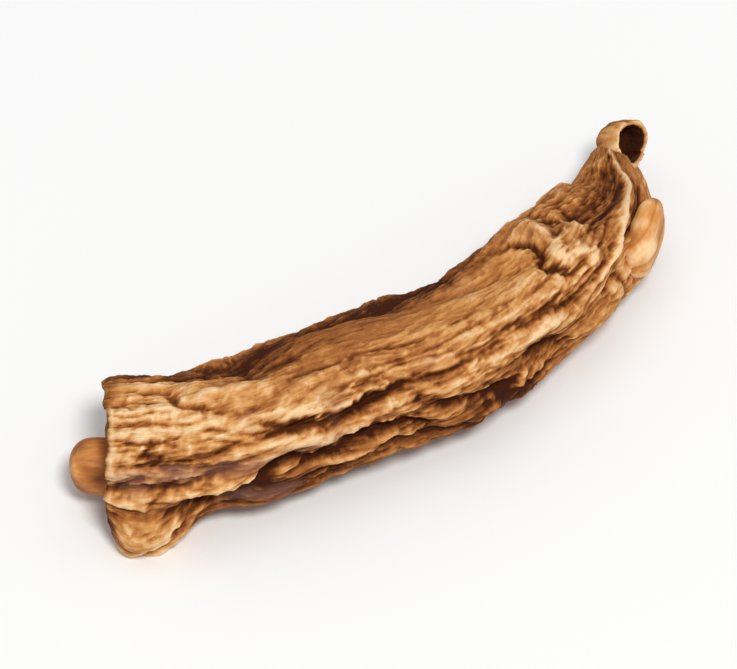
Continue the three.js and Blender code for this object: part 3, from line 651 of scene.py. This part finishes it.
def bark_relief(share, degrees, straight, form):
    """How far the bark stands out of its plain radius, and how much painted shade its narrow creases get.
    """
    bend = sum(reach * warp_at(straight, (lengthwise, across, across), seed)
               for reach, lengthwise, across, seed in BENDS)
    bent_share = share + bend[..., 0] * FOLD_SWAY / form.length
    bent_degrees = degrees + np.degrees(bend[..., 1] / form.mean_radius)
    rise = wave_rise(share, degrees)
    crease_shade = np.zeros(share.shape)
    for height, width, path in MAIN_FOLDS + FINE_FOLDS:
        narrow = SHARP_CREASE if height < 0 else SHARP_RIDGE
        sharpness = SHARP if width < narrow else ROUNDED
        fold = height * line_weight(path, width, bent_share, bent_degrees, form, sharpness)
        rise += fold
        # Narrow creases also get painted shade in the bark's colour.
        if height < 0 and width < SHARP_CREASE:
            crease_shade -= fold
    for height, at_share, at_degrees, *reaches in SWELLINGS:
        rise += height * swelling_weight((at_share, at_degrees), reaches, bent_share, bent_degrees, form)
    squeeze, seed, reach = BRAID
    braided = straight + warp_at(straight, squeeze, seed) * reach + bend * np.array(FINE_BRAID)
    texture = 1 + patches(TEXTURE_PATCHES, share, degrees)
    crumple = np.maximum(0, CREPE_EVERYWHERE + patches(CREPE_PATCHES, share, degrees))
    smoothness, width = EDGE_SMOOTHNESS
    edge = line_weight(PALE_EDGE, width, share, degrees, form, ROUNDED)
    roughness = form.shrinkage * (1 - smoothness * edge)
    rise += roughness * texture * puckered(braided, SHRINKAGE)
    rise += roughness * crumple * puckered(straight + bend, CREPE)
    return rise, crease_shade


def bark_tone_and_painted_light(share, degrees, form):
    """How much lighter or darker each place is than its relief makes it: partly the bark's own colour,
    partly painted light on lit places and painted shade in hollows and low places.
    """
    tone = patches(TONE_AND_LIGHT_PATCHES, share, degrees)
    for strength, width, path in TONE_AND_LIGHT_STROKES:
        tone += strength * line_weight(path, width, share, degrees, form, ROUNDED)
    return tone


def waves_round(angle, waves):
    """The sum of waves round a rim."""
    return sum(size * np.sin(around * angle + phase) for size, around, phase in waves)


def curl_turn():
    """The turn from the curl's own axes, with its mouth facing up, to the root's."""
    return np.array(Vector((0, 0, 1)).rotation_difference(Vector(CURL_FACING)).to_matrix())


def curl_swell(angle):
    """How the rolled bark departs from a circle, with one edge over the other at its seam."""
    rolled = ((angle - CURL_SEAM) % (2 * math.pi)) / (2 * math.pi) - 0.5
    return 1 + CURL_WOBBLE * waves_round(angle, CURL_WAVES) + CURL_OVERLAP * rolled


def clear_of_bore(places):
    """The places with those that lie inside the curl's bore moved back toward the root, into its wall."""
    wall, bottom, top = CURL_WALL
    local = (places - np.array(CURL_AT)) @ curl_turn()
    tip = (middle_at(np.array(1.0)) - np.array(CURL_AT)) @ curl_turn()
    back = tip[:2] / np.linalg.norm(tip[:2])
    flat = local[..., :2]
    reach = wall * curl_swell(np.arctan2(flat[..., 1], flat[..., 0]))
    inside = (np.hypot(flat[..., 0], flat[..., 1]) < reach) & (local[..., 2] > bottom)
    ahead = flat @ back
    moved = flat
    for _ in range(3):
        reach = wall * curl_swell(np.arctan2(moved[..., 1], moved[..., 0]))
        gap = np.sqrt(np.maximum(ahead ** 2 + reach ** 2 - (flat ** 2).sum(axis=-1), 0)) - ahead
        moved = flat + gap[..., None] * back
    shifted = np.concatenate([moved, np.minimum(local[..., 2:], top)], axis=-1)
    local = np.where(inside[..., None], shifted, local)
    return local @ curl_turn().T + np.array(CURL_AT)


def settled(places, form):
    """Places in metres in the root's own frame, with the lowest ones pressed flat on the ground."""
    moved = places - np.array([MIDDLE[0], MIDDLE[1], form.floor_trim])
    moved[..., 2] = np.maximum(moved[..., 2], 0)
    return moved * MM


def closed_grid(name, places, fields):
    """A closed body from a grid of places: columns close round, and the first and last rows are points."""
    rows, columns = places.shape[0] - 1, places.shape[1]
    body = bmesh.new()
    bmesh.ops.create_grid(body, x_segments=columns, y_segments=rows, size=0.5)
    layers = {}
    for field, values in fields.items():
        kind = body.verts.layers.float_vector if values.ndim == 3 else body.verts.layers.float
        layers[field] = kind.new(field)
    for vert in body.verts:
        column = round((vert.co.x + 0.5) * columns) % columns
        row = round((vert.co.y + 0.5) * rows)
        for field, layer in layers.items():
            value = fields[field][row, column]
            vert[layer] = Vector(value) if fields[field].ndim == 3 else float(value)
        vert.co = places[row, column]
    bmesh.ops.remove_doubles(body, verts=body.verts, dist=1e-8)
    bmesh.ops.recalc_face_normals(body, faces=body.faces)
    return finished(name, body)


def finished(name, body):
    """The body as a smooth-shaded object at the origin."""
    for face in body.faces:
        face.smooth = True
    mesh = bpy.data.meshes.new(name)
    body.to_mesh(mesh)
    body.free()
    piece = bpy.data.objects.new(name, mesh)
    bpy.context.scene.collection.objects.link(piece)
    return piece


def add_node(tree, kind, settings, links):
    """A shader node with its settings or socket values, linked from sockets or nodes' first outputs.

    Sockets go by name, or by number where a node has several of one name."""
    node = tree.nodes.new("ShaderNode" + kind)
    for key, value in settings.items():
        if isinstance(key, int) or key in node.inputs:
            node.inputs[key].default_value = value
        else:
            setattr(node, key, value)
    for socket, source in links.items():
        output = source.outputs[0] if isinstance(source, bpy.types.Node) else source
        tree.links.new(output, node.inputs[socket])
    return node


def set_stops(color_ramp, stops):
    """Sets a ramp's stops, which are places and colours."""
    while len(color_ramp.elements) < len(stops):
        color_ramp.elements.new(0.5)
    for element, (place, colour) in zip(color_ramp.elements, stops):
        element.position = place
        element.color = colour


def new_material(name):
    """An empty material, and its node tree."""
    material = bpy.data.materials.new(name)
    material.use_nodes = True
    tree = material.node_tree
    tree.nodes.clear()
    return material, tree


def bark_patterns(tree, straight):
    """The fine patterns of bark: fibres, threads, mottling and grain."""
    # Fibres about 0.25 mm apart that run lengthwise, and threads about 0.1 mm apart.
    fibre_space = add_node(tree, "Mapping", {"Scale": (0.18, 1.0, 1.0)}, {"Vector": straight})
    fibres = add_node(
        tree, "TexNoise", {"Scale": 4.0, "Detail": 4.0, "Roughness": 0.62}, {"Vector": fibre_space},
    )
    thread_space = add_node(tree, "Mapping", {"Scale": (0.12, 1.0, 1.0)}, {"Vector": straight})
    threads = add_node(
        tree, "TexNoise", {"Scale": 10.0, "Detail": 3.0, "Roughness": 0.6, "Distortion": 0.4},
        {"Vector": thread_space},
    )
    # Mottling about 1.5 mm across.
    mottle = add_node(
        tree, "TexNoise", {"Scale": 0.65, "Detail": 3.0, "Roughness": 0.6}, {"Vector": straight},
    )
    # Dusty grain about 0.1 mm across.
    grain = add_node(
        tree, "TexNoise", {"Scale": 9.0, "Detail": 3.0, "Roughness": 0.7}, {"Vector": straight},
    )
    return fibres, threads, mottle, grain


def stained(tree, skin, straight, stain, colours):
    """The skin's colour, with staining in blotches about 3 mm across."""
    blotches = add_node(
        tree, "TexNoise", {"Scale": 0.33, "Detail": 2.0, "Roughness": 0.5}, {"Vector": straight},
    )
    stain_level = add_node(tree, "Math", {"operation": "MULTIPLY_ADD", 1: 0.36}, {0: stain, 2: blotches})
    stain_amount = add_node(
        tree, "MapRange", {"From Min": 0.62, "From Max": 0.88, "To Min": 0.0, "To Max": 0.55},
        {"Value": stain_level},
    )
    return add_node(
        tree, "Mix", {"data_type": "RGBA", 7: colours.stain}, {0: stain_amount, 6: skin},
    ).outputs[2]


def cut_face_colour(tree, straight, relief, colours):
    """The colour of the cut face, with mottling about 0.45 mm across."""
    face_mottle = add_node(
        tree, "TexNoise", {"Scale": 2.2, "Detail": 4.0, "Roughness": 0.65}, {"Vector": straight},
    )
    face_level = add_node(
        tree, "Math", {"operation": "MULTIPLY_ADD", 1: 0.7}, {0: face_mottle, 2: relief},
    )
    face = add_node(tree, "ValToRGB", {"label": "Cut face"}, {"Fac": face_level})
    set_stops(face.color_ramp, (
        (0.45, colours.furrow), (0.65, colours.hollow), (0.85, colours.cut_face), (1.0, colours.ridge),
    ))
    return face


def bark_material(colours):
    """Dried root bark: matt, dark in the furrows, pale on the crests, with fine fibres. The dark and pale
    are partly the bark's own colour and rubbed wear, and partly painted shade and painted highlight carried
    by the relief and the tone.
    """
    material, tree = new_material(BARK_MATERIAL)
    straight = add_node(tree, "Attribute", {"attribute_name": "straight"}, {}).outputs["Vector"]
    relief, tone, cut, stain = (
        add_node(tree, "Attribute", {"attribute_name": name}, {}).outputs["Fac"]
        for name in ("relief", "tone", "cut", "stain")
    )
    fibres, threads, mottle, grain = bark_patterns(tree, straight)
    # The patterns are added to the relief, and their middle level, about half of each, is taken off.
    # The relief and the tone bring painted shade and painted light into the colour.
    level = add_node(tree, "Math", {"operation": "ADD"}, {0: relief, 1: tone})
    for pattern, weight in ((fibres, 0.38), (mottle, 0.3), (grain, 0.16), (threads, 0.26)):
        level = add_node(tree, "Math", {"operation": "MULTIPLY_ADD", 1: weight}, {0: pattern, 2: level})
    level = add_node(tree, "Math", {"operation": "SUBTRACT", 1: 0.545}, {0: level})
    skin = add_node(tree, "ValToRGB", {"label": "Bark with painted shade and light from furrow to crest"}, {"Fac": level})
    set_stops(skin.color_ramp, (
        (0.05, colours.furrow), (0.28, colours.hollow), (0.5, colours.flank), (0.7, colours.ridge),
        (1.0, colours.crest),
    ))
    skin = stained(tree, skin, straight, stain, colours)
    face = cut_face_colour(tree, straight, relief, colours)
    mixed = add_node(tree, "Mix", {"data_type": "RGBA"}, {0: cut, 6: skin, 7: face})
    # The furrows are dull, and the rubbed crests a little smoother.
    roughness = add_node(
        tree, "MapRange", {"From Min": 0.1, "From Max": 0.9, "To Min": 0.9, "To Max": 0.62},
        {"Value": level},
    )
    # The grain, the threads and the fibres stand out by so much of 0.05, 0.07 and 0.15 mm.
    surface = {}
    for pattern, strength, depth in ((grain, 0.7, 0.05), (threads, 0.8, 0.07), (fibres, 0.9, 0.15)):
        bump = add_node(
            tree, "Bump", {"Strength": strength, "Distance": depth * MM}, {"Height": pattern, **surface},
        )
        surface = {"Normal": bump}
    shader = add_node(
        tree, "BsdfPrincipled", {"IOR": 1.45, "Specular IOR Level": 0.2},
        {"Base Color": mixed.outputs[2], "Roughness": roughness, **surface},
    )
    add_node(tree, "OutputMaterial", {}, {"Surface": shader})
    return material


def core_material(colours):
    """Dried root core: pale, waxy and layered, with thin darker lines between its layers."""
    material, tree = new_material("dried root core")
    straight = add_node(tree, "Attribute", {"attribute_name": "straight"}, {}).outputs["Vector"]
    relief = add_node(tree, "Attribute", {"attribute_name": "relief"}, {}).outputs["Fac"]
    # Fibres about 0.33 mm apart that run lengthwise.
    fibre_space = add_node(tree, "Mapping", {"Scale": (0.3, 1.0, 1.0)}, {"Vector": straight})
    fibres = add_node(
        tree, "TexNoise", {"Scale": 3.0, "Detail": 3.0, "Roughness": 0.55}, {"Vector": fibre_space},
    )
    level = add_node(tree, "Math", {"operation": "MULTIPLY_ADD", 1: 0.5}, {0: fibres, 2: relief})
    skin = add_node(tree, "ValToRGB", {"label": "Core from line to face"}, {"Fac": level})
    set_stops(skin.color_ramp, (
        (0.3, colours.hollow), (0.48, colours.core_line), (0.72, colours.core), (0.95, colours.crest),
    ))
    bump = add_node(tree, "Bump", {"Strength": 0.5, "Distance": 0.05 * MM}, {"Height": fibres})
    shader = add_node(
        tree, "BsdfPrincipled", {"IOR": 1.45, "Roughness": 0.6, "Specular IOR Level": 0.35},
        {"Base Color": skin, "Normal": bump},
    )
    add_node(tree, "OutputMaterial", {}, {"Surface": shader})
    return material


def floor_material(settings):
    """Matt white paper, which shows only the root's soft shadow."""
    material, tree = new_material("matt white paper")
    shader = add_node(
        tree, "BsdfPrincipled",
        {"Base Color": settings.floor, "Roughness": 0.9, "Specular IOR Level": 0.2}, {},
    )
    add_node(tree, "OutputMaterial", {}, {"Surface": shader})
    return material


def bark_walls(share, degrees, straight, rise, form):
    """The places of the bark's walls, ring by ring from the cut end to the tip."""
    angle = np.radians(degrees)
    radius = along(RADIUS, share)
    reach = radius + np.minimum(1, radius / form.mean_radius) * rise
    reach *= 1 - ROUND_RIM[1] * np.exp(-share / ROUND_RIM[0])
    reach *= 1 - ROUND_TIP[1] * np.clip((share - ROUND_TIP[0]) / (1 - ROUND_TIP[0]), 0, 1) ** 2
    forward = forward_at(share)
    side = np.stack([forward[..., 1], -forward[..., 0], np.zeros(share.shape)], axis=-1)
    size, squeeze, seed = TORN_NOISE
    torn = waves_round(angle, TORN_WAVES) + size * noise_at(straight, squeeze, seed)
    torn = TORN_RIM[0] * torn * np.maximum(0, 1 - share / TORN_RIM[1])
    walls = middle_at(share) - forward * torn[..., None]
    walls = walls + side * (SECTION_WIDTH * reach * np.cos(angle))[..., None]
    walls[..., 2] += SECTION_HEIGHT * reach * np.sin(angle)
    return walls


def cut_face(rim, straight_rim, form):
    """The rings that close the cut end, from its middle out: places, straight places and relief."""
    middle = middle_at(np.array(0.0))
    forward = forward_at(np.array(0.0))
    depth, squareness = CUT_DISH
    lump_height, lump_squeeze, lump_seed = CUT_LUMPS
    ray_height, ray_squeeze, ray_seed, ray_change, ray_tone = CUT_RAYS
    ring_at, ring_width, ring_tone = CUT_RING
    places = []
    straights = []
    reliefs = []
    for f in 1 - np.linspace(0, 1, form.cap_rows + 1)[:0:-1] ** CUT_RING_SPACING:
        rays = noise_at(straight_rim + np.array([ray_change * f, 0, 0]), ray_squeeze, ray_seed)
        lumps = lump_height * noise_at(straight_rim * f, lump_squeeze, lump_seed)
        dish = depth * (1 - f ** squareness) + lumps
        places.append(middle + (rim - middle) * f + forward * (dish - ray_height * rays)[:, None])
        straights.append(straight_rim * f)
        ring = math.exp(-((f - ring_at) / ring_width) ** 2)
        reliefs.append(0.5 + ray_tone * rays + ring_tone * ring)
    places[0][:] = places[0].mean(axis=0)
    return np.array(places), np.array(straights), np.array(reliefs)


def tip_cap(rim, straight_rim):
    """The rings that close the tip: places and straight places."""
    middle = middle_at(np.array(1.0))
    forward = forward_at(np.array(1.0))
    noses = [TIP_NOSE * math.sqrt(1 - f ** 2) for f in TIP_RINGS]
    places = [middle + (rim - middle) * f + forward * nose for f, nose in zip(TIP_RINGS, noses)]
    straights = [straight_rim + np.array([nose, 0, 0]) for nose in noses]
    return np.array(places), np.array(straights)


def shaded(rise, crease_shade, form):
    """How high each place stands over those near it, as a level from 0 to 1 with creases darker: painted
    shade in creases and hollows and painted light on raised places, for the bark's colour.
    """
    row_step = form.length / rise.shape[0]
    column_step = 2 * math.pi * form.mean_radius / form.columns
    relief = 0.5 + sum(
        weight * (rise - blurred(rise, round(along_reach / row_step), round(round_reach / column_step)))
        for along_reach, round_reach, weight in SHADE_REACHES
    )
    return np.clip(relief - CREASE_SHADE_STRENGTH * crease_shade, 0, 1)


class ROOT_OT_bark(bpy.types.Operator):
    """Build the furrowed bark with its cut face and its narrow tip"""

    bl_idname = "root.bark"
    bl_label = "Bark"

    def execute(self, context):
        form = context.scene.root_form
        share, degrees = np.meshgrid(
            np.linspace(0, 1, form.rows - form.cap_rows - len(TIP_RINGS)),
            np.arange(form.columns) * 360 / form.columns,
            indexing="ij",
        )
        angle = np.radians(degrees)
        # Where each point would lie on a straight root of even thickness. Patterns are read there.
        straight = np.stack(
            [share * form.length, form.mean_radius * np.cos(angle), form.mean_radius * np.sin(angle)],
            axis=-1,
        )
        rise, crease_shade = bark_relief(share, degrees, straight, form)
        walls = bark_walls(share, degrees, straight, rise, form)
        cut_places, cut_straight, cut_relief = cut_face(walls[0], straight[0], form)
        tip_places, tip_straight = tip_cap(walls[-1], straight[-1])
        places = clear_of_bore(np.concatenate([cut_places, walls, tip_places]))

        # The relief level gives painted shade in creases and hollows and painted light on raised places.
        relief = shaded(rise, crease_shade, form)
        # The tone holds painted light and painted shade as well as the bark's own colour.
        tone = bark_tone_and_painted_light(share, degrees, form)
        stain = patches(STAIN_PATCHES, share, degrees)
        before = np.zeros((form.cap_rows, form.columns))
        after = np.zeros((len(TIP_RINGS), form.columns))
        fields = {
            "relief": np.concatenate([cut_relief, relief, after + relief[-1]]),
            "tone": np.concatenate([before, tone, after + tone[-1]]),
            "cut": np.concatenate([before + 1, np.clip(1 - share / ROUND_RIM[0], 0, 1), after]),
            "stain": np.concatenate([before, stain, after]),
            "straight": np.concatenate([cut_straight, straight, tip_straight]),
        }
        bark = closed_grid("root_bark", settled(places, form), fields)
        bark.data.materials.append(bark_material(context.scene.root_colours))
        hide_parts(NODE)
        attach(bark, "root")
        return {"FINISHED"}


def core_piece(name, form):
    """A squarish lump of core with fine lines between its layers."""
    at, size, turn, layers, strength, tone = CORES[name]
    bend_scale, bend_place, bend_share = LAYER_BEND
    lump_scale, lump_height, lump_tone = CORE_LUMPS
    body = bmesh.new()
    bmesh.ops.create_icosphere(body, subdivisions=6, radius=1)
    relief_layer = body.verts.layers.float.new("relief")
    straight_layer = body.verts.layers.float_vector.new("straight")
    turned = Matrix.Rotation(math.radians(turn), 3, "Z")
    for vert in body.verts:
        unit = vert.co.copy()
        swell = sum(abs(v) ** CORE_SQUARENESS for v in unit) ** (-1 / CORE_SQUARENESS)
        place = Vector(unit[i] * size[i] * swell for i in range(3))
        bend = noise.noise(place * bend_scale + Vector(bend_place))
        height = (place.z + LAYER_SLOPE * place.y) * layers
        band = abs(math.sin(math.pi * (height + bend_share * bend)))
        lump = noise.noise(place * lump_scale)
        line = LAYER_DEPTH * strength * (band ** LINE_SHARPNESS - 1)
        place += unit * (line + lump_height * lump)
        shade = strength * band ** LINE_TONE_SHARPNESS
        vert[relief_layer] = CORE_LEVEL + tone + shade + lump_tone * lump
        vert[straight_layer] = place
        place = turned @ place + Vector(at)
        place -= Vector((MIDDLE[0], MIDDLE[1], form.floor_trim))
        place.z = max(place.z, 0)
        vert.co = place * MM
    bmesh.ops.recalc_face_normals(body, faces=body.faces)
    return finished(name, body)


class ROOT_OT_core(bpy.types.Operator):
    """Build the stub of core at the cut end and the pale lobe at the split end"""

    bl_idname = "root.core"
    bl_label = "Core"

    def execute(self, context):
        material = core_material(context.scene.root_colours)
        for name in CORES:
            piece = core_piece(name, context.scene.root_form)
            piece.data.materials.append(material)
            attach(piece, "root")
        return {"FINISHED"}


class ROOT_OT_curl(bpy.types.Operator):
    """Build the tip of the bark that has rolled into a small open curl"""

    bl_idname = "root.curl"
    bl_label = "Curled tip"

    def execute(self, context):
        form = context.scene.root_form
        section = smooth_path(CURL_SECTION)
        across = np.arange(CURL_COLUMNS) * 2 * math.pi / CURL_COLUMNS
        angle, reach = np.meshgrid(across, section[:, 0], indexing="xy")
        depth = np.repeat(section[:, 1:], CURL_COLUMNS, axis=1)
        swell = curl_swell(angle)
        local = np.stack([reach * np.cos(angle) * swell, reach * np.sin(angle) * swell, depth], axis=-1)
        local[..., 2] += CURL_WOBBLE * np.hypot(local[..., 0], local[..., 1]) * np.sin(2 * angle)
        wrinkle = puckered(local[..., [2, 0, 1]], CURL_WRINKLES)
        outward = np.stack([np.cos(angle), np.sin(angle), 0 * angle], axis=-1)
        local = local + outward * (wrinkle * np.minimum(1, reach * 2))[..., None]
        places = local @ curl_turn().T + np.array(CURL_AT)
        row = np.arange(len(section))[:, None] + np.zeros(angle.shape)
        rim = np.exp(-((row - CURL_RIM_ROW) / CURL_RIM_ROWS) ** 2)
        pale_side = np.maximum(0, np.cos(angle - CURL_PALE_SIDE))
        foot = np.clip((-depth - CURL_FOOT[0]) / CURL_FOOT[1], 0, 1)
        # Painted shade darkens the bore.
        tone = RIM_TONE * rim - BORE_PAINTED_SHADE * (row > CURL_BORE_ROW)
        tone = tone + PALE_SIDE_TONE * pale_side - FOOT_TONE * foot
        # Its wrinkles carry painted shade into their creases and painted light onto their puffs.
        fields = {
            "relief": np.clip(0.5 + CURL_CONTRAST * wrinkle, 0, 1),
            "tone": tone,
            "cut": np.zeros(angle.shape),
            "stain": np.zeros(angle.shape),
            "straight": local,
        }
        curl = closed_grid("curled_tip", settled(places, form), fields)
        curl.data.materials.append(bpy.data.materials[BARK_MATERIAL])
        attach(curl, "root")
        return {"FINISHED"}


def add_camera(target, settings):
    """A long lens that looks down at the root."""
    a, e = settings.azimuth, settings.elevation
    back = Vector((math.sin(a) * math.cos(e), -math.cos(a) * math.cos(e), math.sin(e)))
    aim = target - Vector((math.cos(a), math.sin(a), 0)) * settings.aim_across
    camera_data = bpy.data.cameras.new("camera")
    camera_data.lens = settings.lens
    camera_data.sensor_width = 36
    camera_data.clip_start = 0.01
    camera_data.clip_end = 20
    camera = bpy.data.objects.new("camera", camera_data)
    camera.location = aim + back * settings.distance
    camera.rotation_euler = back.to_track_quat("Z", "Y").to_euler()
    bpy.context.scene.collection.objects.link(camera)
    bpy.context.scene.camera = camera


def add_lights(target, settings):
    """One soft main light, and a large one overhead."""
    # Each light's place across, toward the camera and up from the root, its width and its power.
    lights = (
        ("key_light", (0.12, 0.33, 0.68), 0.2, settings.key_power),
        ("overhead_light", (-0.12, -0.1, 0.9), 0.7, settings.fill_power),
    )
    turned = Matrix.Rotation(settings.azimuth, 3, "Z")
    for name, (across, toward, height), size, power in lights:
        light = bpy.data.lights.new(name, "AREA")
        light.shape = "DISK"
        light.size = size
        light.energy = power
        lamp = bpy.data.objects.new(name, light)
        lamp.location = target + turned @ Vector((across, -toward, height))
        lamp.rotation_euler = (lamp.location - target).to_track_quat("Z", "Y").to_euler()
        lamp.visible_camera = False
        bpy.context.scene.collection.objects.link(lamp)


def add_sky(settings):
    """Pale light from all round."""
    world = bpy.data.worlds.new("studio")
    world.use_nodes = True
    background = world.node_tree.nodes["Background"]
    background.inputs["Color"].default_value = hex_colour("#F6F8FB")
    background.inputs["Strength"].default_value = settings.sky
    bpy.context.scene.world = world


class ROOT_OT_stage(bpy.types.Operator):
    """Build the pale floor, the soft lights and the camera"""

    bl_idname = "root.stage"
    bl_label = "Stage"

    def execute(self, context):
        settings = context.scene.root_stage
        plane = bmesh.new()
        bmesh.ops.create_grid(plane, x_segments=1, y_segments=1, size=3.0)
        # The floor lies a hair under the places where the root rests.
        bmesh.ops.translate(plane, verts=plane.verts, vec=(0, 0, -0.02 * MM))
        floor = finished("floor", plane)
        floor.data.materials.append(floor_material(settings))

        low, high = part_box(NODE)
        target = (Vector(low) + Vector(high)) / 2
        add_camera(target, settings)
        add_lights(target, settings)
        add_sky(settings)
        context.scene.view_settings.view_transform = "Standard"
        return {"FINISHED"}


class ROOT_PT_panel(bpy.types.Panel):
    """Buttons that build the root and its stage"""

    bl_label = "Dried root"
    bl_idname = "ROOT_PT_panel"
    bl_space_type = "VIEW_3D"
    bl_region_type = "UI"
    bl_category = "Root"

    def draw(self, context):
        column = self.layout.column(align=True)
        for operator in OPERATORS:
            column.operator(operator.bl_idname)
        for settings in (context.scene.root_form, context.scene.root_colours, context.scene.root_stage):
            box = self.layout.box()
            for name in settings.__annotations__:
                box.prop(settings, name)


OPERATORS = (ROOT_OT_bark, ROOT_OT_core, ROOT_OT_curl, ROOT_OT_stage)
SETTINGS = (RootForm, RootColours, StageSettings)


def register():
    for kind in (*SETTINGS, *OPERATORS, ROOT_PT_panel):
        bpy.utils.register_class(kind)
    bpy.types.Scene.root_form = PointerProperty(type=RootForm)
    bpy.types.Scene.root_colours = PointerProperty(type=RootColours)
    bpy.types.Scene.root_stage = PointerProperty(type=StageSettings)


def unregister():
    del bpy.types.Scene.root_stage
    del bpy.types.Scene.root_colours
    del bpy.types.Scene.root_form
    for kind in reversed((*SETTINGS, *OPERATORS, ROOT_PT_panel)):
        bpy.utils.unregister_class(kind)


def main():
    register()
    bpy.ops.root.bark()
    bpy.ops.root.core()
    bpy.ops.root.curl()
    bpy.ops.root.stage()


if __name__ == "__main__":
    main()
